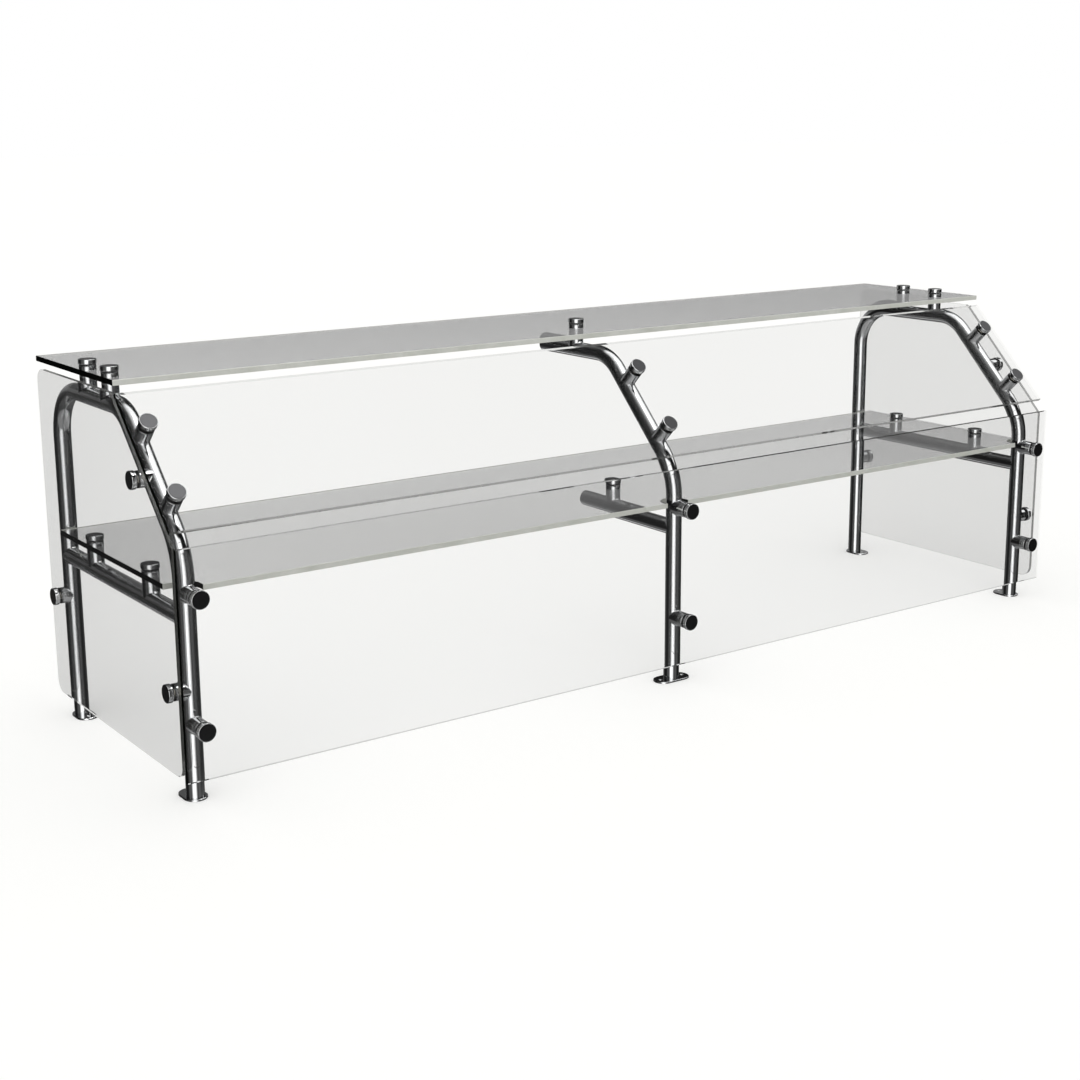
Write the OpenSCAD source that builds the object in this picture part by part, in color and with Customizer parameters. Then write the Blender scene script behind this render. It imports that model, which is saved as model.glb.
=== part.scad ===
// Sneeze guard for a food counter: three bent tube frames carry clear panes and shelves on standoffs.
// Millimetres, +Z up. X runs along the counter, the customer side faces -Y.
// The origin is the foot of the centre post, on the counter.

/* [Frame] */
// Distance from the centre frame to each end frame, axis to axis
bay_width = 830; // [500:5:1000]
// Distance from the front posts to the rear posts, axis to axis
frame_depth = 410; // [390:1:520]
// Height at which the axes of a front post and its incline cross
knee_height = 345; // [320:1:380]
// Lean of the incline from upright, in degrees
incline = 45; // [40:1:48]
// Height of the axis of the top tubes
top_height = 511; // [490:1:540]
// Height of the axis of the shelf rails
rail_height = 254; // [170:1:260]
// Centre-line radius of the bend from front post to incline
knee_radius = 100; // [60:1:115]
// Centre-line radius of the bend from incline to top run
shoulder_radius = 75; // [50:1:90]
// Centre-line radius of the bend from top run to rear post
rear_radius = 75; // [50:1:85]

/* [Tube] */
// Outside diameter of the frame tube
tube_d = 25.4; // [24:0.1:30]
// Wall thickness of the frame tube
tube_wall = 1.5; // [1:0.1:2.5]
// Amount by which bending thins the tube's wall on each face
bend_thinning = 0.1; // [0.05:0.01:0.2]
// Length over which a straight run tapers into a bend
bend_taper = 2; // [1:0.1:4]
// Gap left at each coped and welded joint
weld_gap = 0.1; // [0.05:0.01:0.2]

/* [Centre arms] */
// Reach of the top arm behind its standoff, plug included
top_arm_tail = 89; // [40:1:120]
// Distance from the centre post to the standoff on the shelf arm
shelf_arm_seat = 158; // [80:1:220]
// Reach of the shelf arm behind its standoff, plug included
shelf_arm_tail = 76; // [40:1:120]
// Thickness of the disc that closes an arm
plug_t = 3; // [2:0.5:6]
// Length of the spigot that holds a plug in its arm
plug_spigot = 15; // [8:1:30]
// Gap all round the spigot
plug_gap = 0.1; // [0.05:0.01:0.3]

/* [Feet] */
// Thickness of a foot flange
foot_t = 3; // [2:0.5:6]
// Half of the width of a foot flange
foot_radius = 16.5; // [15.5:0.1:20]
// Distance from the post to the centre of the flange's round end
foot_reach = 16; // [14:0.5:30]
// Diameter of the screw hole in a foot
foot_hole_d = 5.5; // [4:0.1:6.5]
// Distance from the post to the screw hole
foot_hole_reach = 22.5; // [20.5:0.1:24]

/* [Glass] */
// Thickness of the upright and inclined panes
pane_t = 6; // [4:0.5:10]
// Thickness of the shelves
shelf_t = 8; // [6:0.5:12]
// Reach of the front panes and the top shelf past the end frames, axis to edge
glass_overhang = 28; // [16:1:60]
// Height of the lower edges of the upright panes above the counter
pane_base = 38; // [15:1:60]
// Rise of the lower front pane above the knee
lower_pane_rise = 12; // [0:1:20]
// Space that the upper front pane leaves at each end of the incline
upper_pane_space = 4; // [2:1:20]
// Reach of the top shelf in front of its front standoffs
top_shelf_front = 80; // [30:1:110]
// Reach of the top shelf behind the rear posts
top_shelf_rear = 20; // [0:1:60]
// Reach of the middle shelf in front of the front posts
mid_shelf_front = 10; // [0:1:20]
// Space between the middle shelf and the rear posts
mid_shelf_rear_gap = 3; // [2:0.5:12]
// Space between the middle shelf and each end pane
mid_shelf_end_gap = 2; // [1:0.5:8]
// Space round a front post where the middle shelf is cut away
notch_clearance = 8; // [5:0.5:15]
// Reach of the end panes past the axes of the end frame
end_margin = 25; // [18:1:30]
// Radius of the square corners of the end panes
end_corner_radius = 20; // [5:1:30]

/* [Standoffs] */
// Diameter of a standoff barrel
barrel_d = 24; // [18:0.5:25]
// Length of the barrels that carry the front panes and the shelves
barrel_length = 22; // [15:1:30]
// Length of the barrels that carry the end panes
end_barrel_length = 7; // [5:0.5:15]
// Solid left under the stud in a barrel
barrel_floor = 1.5; // [1:0.1:3]
// Thickness of a gasket
gasket_t = 1; // [0.5:0.1:2]
// Diameter of the threaded stud
stud_d = 8; // [5:0.5:9]
// Gap all round the stud in its holes
stud_gap = 0.05; // [0.05:0.01:0.2]
// Wall thickness of the sleeve round the stud
sleeve_wall = 2.6; // [1:0.1:3]
// Gap all round the sleeve, to the stud and to the glass
sleeve_gap = 0.2; // [0.1:0.05:0.5]
// Diameter of a cap
cap_d = 26; // [22:0.5:32]
// Depth to which the stud enters its cap
cap_thread = 5; // [3:0.5:10]
// Space left past the end of the stud in its cap
cap_end_gap = 0.5; // [0.2:0.1:2]
// Thickness of the face of a cap over the end of its hole
cap_face = 1.5; // [1:0.1:3]

/* [Standoff places] */
// Distance of the lower front standoffs from the edges of their pane
lower_inset = 69; // [45:1:75]
// Distance of the upper front standoffs from the edges of their pane
upper_inset = 56; // [50:1:70]
// Distance of the front top standoffs behind the shoulder bend
top_inset_front = 20; // [13:1:40]
// Distance of the rear top standoffs in front of the rear bend
top_inset_rear = 36; // [13:1:45]
// Distance of the rail standoffs from the posts
rail_inset = 105; // [50:1:150]
// Height of the end standoff on the front post
end_front_height = 154; // [80:1:200]
// Height of the end standoff on the rear post
end_rear_height = 193; // [80:1:300]

/* [Hidden] */
$fn = 96;
tube_r = tube_d / 2;
ends = [-1, 1];
frames = [-bay_width, 0, bay_width];

// The incline as it runs from the knee to the shoulder, with its direction and its outward normal
incline_length = (top_height - knee_height) / cos(incline);
along = [sin(incline), cos(incline)];
outward = [-cos(incline), sin(incline)];
knee = [0, knee_height];
shoulder = knee + incline_length * along;

// Standoff faces and glass faces, measured out from the tube axis
seat = tube_r + barrel_length + gasket_t;
end_seat = tube_r + end_barrel_length + gasket_t;
end_face = bay_width + end_seat;

// Glass edges
glass_half = bay_width + glass_overhang;
lower_top = knee_height + lower_pane_rise;
upper_pane_length = incline_length - 2 * upper_pane_space;
mid_half = end_face - mid_shelf_end_gap;
mid_rear = frame_depth - tube_r - mid_shelf_rear_gap;
notch_r = tube_r + notch_clearance;
notch_cut = mid_shelf_front + end_seat;

// Standoff places along the tubes
lower_places = [pane_base + lower_inset, lower_top - lower_inset];
upper_places = [upper_pane_space + upper_inset, incline_length - upper_pane_space - upper_inset];
top_first = shoulder.x + shoulder_radius * tan((90 - incline) / 2) + top_inset_front;
top_last = frame_depth - rear_radius - top_inset_rear;
top_middle = (top_first + top_last) / 2;
rail_places = [rail_inset, frame_depth - rail_inset];

// Standoff bores
stud_hole_d = stud_d + 2 * stud_gap;
sleeve_bore_d = stud_d + 2 * sleeve_gap;
sleeve_d = sleeve_bore_d + 2 * sleeve_wall;
glass_hole_d = sleeve_d + 2 * sleeve_gap;
glass_hole_reach = seat + pane_t + shelf_t;
cap_hole = cap_thread + cap_end_gap;
cap_t = cap_hole + cap_face;

steel = [0.62, 0.63, 0.65];
clear = [0.85, 0.9, 0.9, 0.35];
nylon = [0.9, 0.9, 0.88];
gasket_grey = [0.2, 0.2, 0.2];

// Each group of standoffs carries one pane: its name, its barrel length and its glass thickness
GROUPS = [
    ["lower_front", barrel_length, pane_t],
    ["upper_front", barrel_length, pane_t],
    ["top_shelf", barrel_length, shelf_t],
    ["middle_shelf", barrel_length, shelf_t],
    ["left_end", end_barrel_length, pane_t],
    ["right_end", end_barrel_length, pane_t]
];
PIECES = ["barrels", "studs", "gaskets", "sleeves", "caps"];

// Angle of the direction from one corner of a path to the next
function heading(from, to) = atan2(to.y - from.y, to.x - from.x);

// True where a path has an open end and no bend
function is_end(path, i) = i == 0 || i == len(path) - 1;

// Distance from corner i of a path to the ends of its bend
function bend_trim(path, radii, i) =
    radii[i - 1] * tan((heading(path[i - 1], path[i]) - heading(path[i], path[i + 1])) / 2);

// Distance from corner i of a path to where the straight runs stop, just inside the bend
function run_trim(path, radii, i) = is_end(path, i) ? 0 : bend_trim(path, radii, i) - bend_taper;

// Thinning of a run's wall on each face where it ends inside the wall of the bend
function run_thinning(path, i) = is_end(path, i) ? 0 : 2 * bend_thinning;

// Section of the frame tube, thinned on each face by the given amount
module tube_section(thinning = 0) {
    difference() {
        circle(r = tube_r - thinning);
        circle(r = tube_r - tube_wall + thinning);
    }
}

// Straight run of tube along +X, whose wall tapers into the bend at each end that has one
module tube_run(length, thin_start, thin_end) {
    bore_r = tube_r - tube_wall;
    rotate([0, 90, 0])
        rotate_extrude()
            polygon([
                [bore_r + thin_start, 0], [tube_r - thin_start, 0],
                [tube_r, bend_taper], [tube_r, length - bend_taper],
                [tube_r - thin_end, length], [bore_r + thin_end, length],
                [bore_r, length - bend_taper], [bore_r, bend_taper]
            ]);
}

// Tube bent along a path of [y, z] corners that turns from up, over to the rear and down again
module bent_tube(path, radii) {
    rotate([90, 0, 90]) {
        for (i = [0 : len(path) - 2]) {
            start = run_trim(path, radii, i);
            end = norm(path[i + 1] - path[i]) - run_trim(path, radii, i + 1);
            translate(path[i])
                rotate([0, 0, heading(path[i], path[i + 1])])
                    translate([start, 0, 0])
                        tube_run(end - start, run_thinning(path, i), run_thinning(path, i + 1));
        }
        for (i = [1 : len(path) - 2]) {
            angle_in = heading(path[i - 1], path[i]);
            angle_out = heading(path[i], path[i + 1]);
            radius = radii[i - 1];
            translate(path[i])
                rotate([0, 0, angle_in])
                    translate([-bend_trim(path, radii, i), -radius, 0])
                        rotate([0, 0, 90 - angle_in + angle_out])
                            rotate_extrude(angle = angle_in - angle_out)
                                translate([radius, 0]) tube_section(bend_thinning);
        }
    }
}

// Straight tube at rail height, from the front post to the rear, coped round the posts it meets
module coped_tube(reach, posts) {
    difference() {
        translate([0, 0, rail_height])
            rotate([-90, 0, 0])
                linear_extrude(reach) tube_section();
        for (y = posts)
            translate([0, y, rail_height - tube_d])
                cylinder(h = 2 * tube_d, r = tube_r + weld_gap);
    }
}

module end_frame(side) {
    path = [[0, foot_t], knee, shoulder, [frame_depth, top_height], [frame_depth, foot_t]];
    color(steel)
        translate([side * bay_width, 0, 0])
            bent_tube(path, [knee_radius, shoulder_radius, rear_radius]);
}

module centre_frame() {
    path = [[0, foot_t], knee, shoulder, [top_middle + top_arm_tail - plug_t, top_height]];
    color(steel) bent_tube(path, [knee_radius, shoulder_radius]);
}

module shelf_rail(side) {
    color(steel)
        translate([side * bay_width, 0, 0])
            coped_tube(frame_depth, [0, frame_depth]);
}

module centre_shelf_arm() {
    color(steel) coped_tube(shelf_arm_seat + shelf_arm_tail - plug_t, [0]);
}

// Disc that closes a tube whose end is at y, with the spigot that holds it
module plug(y, z) {
    color(steel)
        translate([0, y, z])
            rotate([-90, 0, 0]) {
                cylinder(h = plug_t, d = tube_d);
                translate([0, 0, -plug_spigot])
                    cylinder(h = plug_spigot, r = tube_r - tube_wall - plug_gap);
            }
}

// Outline of the flange on one side of a post, towards +Y
module foot_lobe() {
    circle(r = foot_radius);
    translate([0, foot_reach]) circle(r = foot_radius);
    translate([-foot_radius, 0]) square([2 * foot_radius, foot_reach]);
}

// Flange on the counter, with a lobe and a screw hole at each of the given angles
module foot(angles) {
    color(steel)
        linear_extrude(foot_t)
            difference() {
                for (angle = angles)
                    rotate(angle) foot_lobe();
                for (angle = angles)
                    rotate(angle) translate([0, foot_hole_reach]) circle(d = foot_hole_d);
            }
}

module end_foot(side, y, angle) {
    translate([side * bay_width, y, 0]) foot([angle]);
}

// Puts the children at each standoff of a group: local origin on the tube axis, local +Z outward, tube along Y
module at_standoffs(name) {
    if (name == "lower_front")
        for (x = frames, z = lower_places)
            translate([x, 0, z]) rotate([90, 0, 0]) children();
    if (name == "upper_front")
        for (x = frames, s = upper_places)
            translate([x, s * along.x, knee_height + s * along.y])
                rotate([90 - incline, 0, 0]) children();
    if (name == "top_shelf") {
        for (side = ends, y = [top_first, top_last])
            translate([side * bay_width, y, top_height]) children();
        translate([0, top_middle, top_height]) children();
    }
    if (name == "middle_shelf") {
        for (side = ends, y = rail_places)
            translate([side * bay_width, y, rail_height]) children();
        translate([0, shelf_arm_seat, rail_height]) children();
    }
    if (name == "left_end") at_end_standoffs(-1) children();
    if (name == "right_end") at_end_standoffs(1) children();
}

// The end standoffs of one side: front post, middle of the incline, rear post
module at_end_standoffs(side) {
    middle = knee + along * incline_length / 2;
    on_end(side, [0, end_front_height], 0) children();
    on_end(side, middle, incline) children();
    on_end(side, [frame_depth, end_rear_height], 0) children();
}

// One place on an end frame, where the tube leans from upright by the given angle
module on_end(side, place, lean) {
    translate([side * bay_width, place.x, place.y])
        rotate([0, side * 90, 0])
            rotate([0, 0, side * (90 - lean)])
                children();
}

// Barrels, coped to the tube and bored from the outer end for the stud
module barrels(name, length) {
    color(steel)
        at_standoffs(name)
            difference() {
                cylinder(h = tube_r + length, d = barrel_d);
                rotate([90, 0, 0])
                    cylinder(h = 2 * barrel_d, r = tube_r + weld_gap, center = true);
                translate([0, 0, tube_r + barrel_floor])
                    cylinder(h = length, d = stud_hole_d);
            }
}

// Studs, from the floor of the barrel's bore to inside the cap
module studs(name, length, glass_t) {
    base = tube_r + barrel_floor;
    cap_base = tube_r + length + glass_t + 2 * gasket_t;
    color(steel)
        at_standoffs(name)
            translate([0, 0, base]) cylinder(h = cap_base + cap_thread - base, d = stud_d);
}

// Gaskets on both faces of the glass
module gaskets(name, length, glass_t) {
    base = tube_r + length;
    color(gasket_grey)
        at_standoffs(name)
            for (z = [base, base + gasket_t + glass_t])
                translate([0, 0, z])
                    linear_extrude(gasket_t)
                        difference() {
                            circle(d = barrel_d);
                            circle(d = sleeve_bore_d);
                        }
}

// Sleeves between the gaskets, which keep the stud off the glass
module sleeves(name, length, glass_t) {
    color(nylon)
        at_standoffs(name)
            translate([0, 0, tube_r + length + gasket_t])
                linear_extrude(glass_t)
                    difference() {
                        circle(d = sleeve_d);
                        circle(d = sleeve_bore_d);
                    }
}

// Caps, each with a blind hole for the stud
module caps(name, length, glass_t) {
    base = tube_r + length + glass_t + 2 * gasket_t;
    color(steel)
        at_standoffs(name)
            translate([0, 0, base])
                difference() {
                    cylinder(h = cap_t, d = cap_d);
                    translate([0, 0, -cap_hole])
                        cylinder(h = 2 * cap_hole, d = stud_hole_d);
                }
}

// Holes through the glass at the standoffs of a group
module glass_holes(name) {
    at_standoffs(name) cylinder(h = glass_hole_reach, d = glass_hole_d);
}

// Rectangle of glass, long side along X, between two edges of its local Y
module long_pane(edges, thickness) {
    linear_extrude(thickness)
        translate([-glass_half, edges[0]])
            square([2 * glass_half, edges[1] - edges[0]]);
}

module lower_front_glass() {
    color(clear)
        difference() {
            translate([0, -seat, 0])
                rotate([90, 0, 0]) long_pane([pane_base, lower_top], pane_t);
            glass_holes("lower_front");
        }
}

module upper_front_glass() {
    color(clear)
        difference() {
            translate([0, 0, knee_height])
                rotate([90 - incline, 0, 0])
                    translate([0, upper_pane_space, seat]) long_pane([0, upper_pane_length], pane_t);
            glass_holes("upper_front");
        }
}

module top_shelf_glass() {
    color(clear)
        difference() {
            translate([0, 0, top_height + seat])
                long_pane([top_first - top_shelf_front, frame_depth + top_shelf_rear], shelf_t);
            glass_holes("top_shelf");
        }
}

// What the middle shelf loses round the centre post: a round-bottomed slot open to the front
module post_notch() {
    circle(r = notch_r);
    translate([-notch_r, -notch_cut]) square([2 * notch_r, notch_cut]);
}

// What it loses round an end post: the whole corner, with a round inner corner, here for the right end
module corner_notch() {
    circle(r = notch_r);
    translate([-notch_r, -notch_cut]) square([notch_r + notch_cut, notch_cut]);
    translate([0, -notch_cut]) square([notch_cut, notch_cut + notch_r]);
}

module middle_shelf_glass() {
    color(clear)
        difference() {
            translate([0, 0, rail_height + seat])
                linear_extrude(shelf_t)
                    difference() {
                        translate([-mid_half, -mid_shelf_front])
                            square([2 * mid_half, mid_rear + mid_shelf_front]);
                        post_notch();
                        translate([bay_width, 0]) corner_notch();
                        translate([-bay_width, 0]) mirror([1, 0]) corner_notch();
                    }
            glass_holes("middle_shelf");
        }
}

// What a square corner at the origin loses to its round, with the glass towards +X and +Y
module corner_round() {
    difference() {
        translate([-1, -1]) square(end_corner_radius + 1);
        translate([end_corner_radius, end_corner_radius]) circle(r = end_corner_radius);
    }
}

// Outline of an end pane in [y, z]: the end frame's outline moved out by the margin
module end_outline() {
    front = -end_margin;
    rear = frame_depth + end_margin;
    top = top_height + end_margin;
    front_corner = knee_height + end_margin * (1 + outward.x) / outward.y;
    top_corner = ((top - knee_height) * outward.y - end_margin) / -outward.x;
    difference() {
        polygon([[front, pane_base], [rear, pane_base], [rear, top], [top_corner, top], [front, front_corner]]);
        translate([front, pane_base]) corner_round();
        translate([rear, pane_base]) rotate(90) corner_round();
        translate([rear, top]) rotate(180) corner_round();
    }
}

module end_glass(side, name) {
    color(clear)
        difference() {
            translate([side * (end_face + pane_t / 2) - pane_t / 2, 0, 0])
                rotate([90, 0, 90])
                    linear_extrude(pane_t) end_outline();
            glass_holes(name);
        }
}

end_frame(-1);  // left_end_frame
end_frame(1);  // right_end_frame
centre_frame();
shelf_rail(-1);  // left_shelf_rail
shelf_rail(1);  // right_shelf_rail
centre_shelf_arm();
plug(top_middle + top_arm_tail - plug_t, top_height);  // top_arm_plug
plug(shelf_arm_seat + shelf_arm_tail - plug_t, rail_height);  // shelf_arm_plug
end_foot(-1, 0, 0);  // front_left_foot
end_foot(1, 0, 0);  // front_right_foot
end_foot(-1, frame_depth, 180);  // rear_left_foot
end_foot(1, frame_depth, 180);  // rear_right_foot
foot([-90, 90]);  // centre_foot
lower_front_glass();
upper_front_glass();
top_shelf_glass();
middle_shelf_glass();
end_glass(-1, "left_end");  // left_end_glass
end_glass(1, "right_end");  // right_end_glass
for (group = GROUPS) {
    barrels(group[0], group[1]);
    studs(group[0], group[1], group[2]);
    gaskets(group[0], group[1], group[2]);
    sleeves(group[0], group[1], group[2]);
    caps(group[0], group[1], group[2]);
}
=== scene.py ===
import math

import bpy
import numpy as np
from bpy.props import FloatProperty, FloatVectorProperty, PointerProperty
from mathutils import Matrix, Vector
from mathutils.geometry import tessellate_polygon


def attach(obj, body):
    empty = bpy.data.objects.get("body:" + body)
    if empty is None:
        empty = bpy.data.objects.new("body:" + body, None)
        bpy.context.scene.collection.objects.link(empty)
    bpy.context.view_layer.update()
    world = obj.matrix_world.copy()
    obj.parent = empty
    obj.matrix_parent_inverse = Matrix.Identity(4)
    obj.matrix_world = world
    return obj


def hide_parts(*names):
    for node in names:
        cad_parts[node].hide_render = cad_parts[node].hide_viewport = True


bl_info = {
    "name": "Sneeze guard",
    "version": (1, 0, 0),
    "blender": (4, 5, 0),
    "location": "3D Viewport > Sidebar > Guard",
    "description": "Builds the looks of a glass sneeze guard round its CAD frame",
    "category": "Add Mesh",
}

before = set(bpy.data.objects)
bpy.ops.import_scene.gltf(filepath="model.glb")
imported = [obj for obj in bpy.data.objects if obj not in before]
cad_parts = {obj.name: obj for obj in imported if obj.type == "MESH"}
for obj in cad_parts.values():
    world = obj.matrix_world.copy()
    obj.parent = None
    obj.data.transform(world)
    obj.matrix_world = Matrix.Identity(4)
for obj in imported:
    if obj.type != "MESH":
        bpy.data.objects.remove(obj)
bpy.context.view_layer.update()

FRONTS = ("lower_front", "upper_front")
SHELVES = ("top_shelf", "middle_shelf")
ENDS = ("left_end", "right_end")
GROUPS = FRONTS + SHELVES + ENDS

MM = 0.001

# Fineness of the curved surfaces
TUBE_STEPS = 64
BEND_STEPS = 24
TURNED_STEPS = 48
HALF_ROUND_STEPS = 24
CORNER_STEPS = 12
ROUND_STEPS = 5
CARD_STEPS = 360
SHARP_ANGLE = math.radians(32)
# Rings up the edge of a plate: set in at the bottom, full, full, set in at the top
PLATE_RINGS = 4
# Least cosine between an edge's outward way and another way for the edge to count as looking that way
EDGE_FACING = 0.72
# Turned steel: spacing of the tool's rings, and where a cap's satin face, darkened with painted shade, ends
# and its bright rim begins
TURNING_PITCH = 0.6 * MM
CAP_FACE_RADIUS = 11.9 * MM
CAP_RIM_RADIUS = 12.4 * MM
# A turned face: the rings that divide it, as shares of its radius, and the flat spot that closes its middle
FACE_SHARES = (0.7, 0.4, 0.15)
CENTRE_SPOT = 0.2 * MM
# Where most values of a noise lie
NOISE_LOW = 0.3
NOISE_HIGH = 0.7
# A Mix node's sockets for colours, by number because their names repeat
MIX_SHARE = 0
MIX_FIRST = 6
MIX_SECOND = 7
MIX_RESULT = 2


# Properties

def linear(code):
    """An sRGB colour such as "#c8c9ca" as linear red, green and blue, by the sRGB curve."""
    shares = np.array([int(code[i:i + 2], 16) for i in (1, 3, 5)]) / 255
    return np.where(shares <= 0.04045, shares / 12.92, ((shares + 0.055) / 1.055) ** 2.4).tolist()


def length(name, metres, text):
    """A length in metres as a property."""
    return FloatProperty(name=name, description=text, default=metres, min=0.0, precision=4,
                         subtype="DISTANCE", unit="LENGTH")


def colour(name, code, text):
    """A colour property whose default is written in sRGB."""
    return FloatVectorProperty(name=name, description=text, default=linear(code), min=0.0, max=1.0,
                               size=3, subtype="COLOR")


class GuardSizes(bpy.types.PropertyGroup):
    """The sizes of the CAD part, in metres."""

    bay_width: length("Bay width", 0.830, "Centre post to end post")
    frame_depth: length("Frame depth", 0.410, "Front post to rear post")
    knee_height: length("Knee height", 0.345, "Where the front post and the incline meet")
    top_height: length("Top height", 0.511, "Axis of the top run")
    rail_height: length("Rail height", 0.254, "Axis of the shelf rails")
    incline: FloatProperty(name="Incline", description="Lean of the upper front from upright",
                           default=math.radians(45), subtype="ANGLE", unit="ROTATION")
    knee_radius: length("Knee radius", 0.100, "Bend between post and incline, on the axis")
    arm_radius: length("Arm radius", 0.075, "Bends at both ends of the top run, on the axis")
    tube_radius: length("Tube radius", 0.0127, "Outer radius of all the tubes")
    tube_wall: length("Tube wall", 0.0015, "Wall of all the tubes")
    weld_leg: length("Weld leg", 0.0015, "Leg of the polished fillet where a tube or barrel is welded on")
    weld_sink: length("Weld sink", 0.00005, "How far a welded end reaches into the tube it stands on")

    top_arm_tail: length("Top arm tail", 0.089, "Centre top standoff to the end of the arm")
    shelf_arm_seat: length("Shelf arm seat", 0.158, "Centre post to the standoff on the shelf arm")
    shelf_arm_tail: length("Shelf arm tail", 0.076, "Standoff on the shelf arm to its end")
    plug_thickness: length("Plug thickness", 0.003, "Head of an end plug")
    plug_spigot: length("Plug spigot", 0.015, "Length of a plug inside the tube")
    plug_gap: length("Plug gap", 0.0001, "Room round the spigot")
    plug_edge: length("Plug edge", 0.0008, "Round on the edge of a plug")

    foot_thickness: length("Foot thickness", 0.003, "Thickness of a foot plate")
    foot_radius: length("Foot radius", 0.0165, "Round ends of a foot plate")
    foot_reach: length("Foot reach", 0.016, "Tube axis to the middle of the plate's far round")
    foot_hole_radius: length("Foot hole radius", 0.00275, "Screw hole in a foot plate")
    foot_hole_reach: length("Foot hole reach", 0.0225, "Tube axis to the screw hole")
    foot_edge: length("Foot edge", 0.0005, "Broken edge of a foot plate")

    pane_thickness: length("Pane thickness", 0.006, "Glass of the fronts and ends")
    shelf_thickness: length("Shelf thickness", 0.008, "Glass of the shelves")
    glass_overhang: length("Glass overhang", 0.028, "Glass beyond the end posts' axis")
    pane_base: length("Pane base", 0.038, "Counter to the lower edge of the panes")
    lower_pane_rise: length("Lower pane rise", 0.012, "Lower pane above the knee")
    upper_pane_space: length("Upper pane space", 0.004, "Upper pane from both corners of the incline")
    top_shelf_front: length("Top shelf front", 0.080, "Top shelf ahead of its first standoff")
    top_shelf_rear: length("Top shelf rear", 0.020, "Top shelf behind the rear post's axis")
    mid_shelf_front: length("Middle shelf front", 0.010, "Middle shelf ahead of the front posts' axis")
    mid_shelf_rear_gap: length("Middle shelf rear gap", 0.003, "Middle shelf to the rear posts")
    mid_shelf_end_gap: length("Middle shelf end gap", 0.002, "Middle shelf to the end panes")
    notch_clearance: length("Notch clearance", 0.008, "Room between a post and its cut-out in the shelf")
    end_margin: length("End margin", 0.025, "End pane beyond the end frame's axis")
    end_corner_radius: length("End corner radius", 0.020, "Square corners of the end panes")
    glass_arris: length("Glass arris", 0.0006, "Ground and polished corner along the glass edges")

    hole_radius: length("Hole radius", 0.007, "Hole in the glass for a standoff")
    barrel_radius: length("Barrel radius", 0.012, "Standoff barrel")
    barrel_length: length("Barrel length", 0.022, "Tube to gasket")
    end_barrel_length: length("End barrel length", 0.007, "Tube to gasket on the ends")
    barrel_floor: length("Barrel floor", 0.0015, "Metal under the stud's bore")
    bore_radius: length("Bore radius", 0.00405, "Stud bore in barrel and cap")
    gasket_thickness: length("Gasket thickness", 0.001, "Gasket each side of the glass")
    gasket_bore: length("Gasket bore", 0.0042, "Hole in a gasket")
    cap_radius: length("Cap radius", 0.013, "Standoff cap")
    cap_thickness: length("Cap thickness", 0.007, "Standoff cap")
    cap_bore: length("Cap bore", 0.0055, "Depth of the stud's bore in the cap")
    cap_edge: length("Cap edge", 0.0008, "Round on the front edge of a cap")
    turned_edge: length("Turned edge", 0.0006, "Broken edge of a barrel's end and of a cap's inner face")

    lower_inset: length("Lower inset", 0.069, "Lower pane's standoffs from its edges")
    upper_inset: length("Upper inset", 0.056, "Upper pane's standoffs from its edges")
    top_inset_front: length("Top inset front", 0.020, "First top standoff behind the shoulder bend")
    top_inset_rear: length("Top inset rear", 0.036, "Last top standoff ahead of the rear bend")
    rail_inset: length("Rail inset", 0.105, "Shelf standoffs from the posts")
    end_front_height: length("End front height", 0.154, "End standoff on the front post")
    end_rear_height: length("End rear height", 0.193, "End standoff on the rear post")


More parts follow.
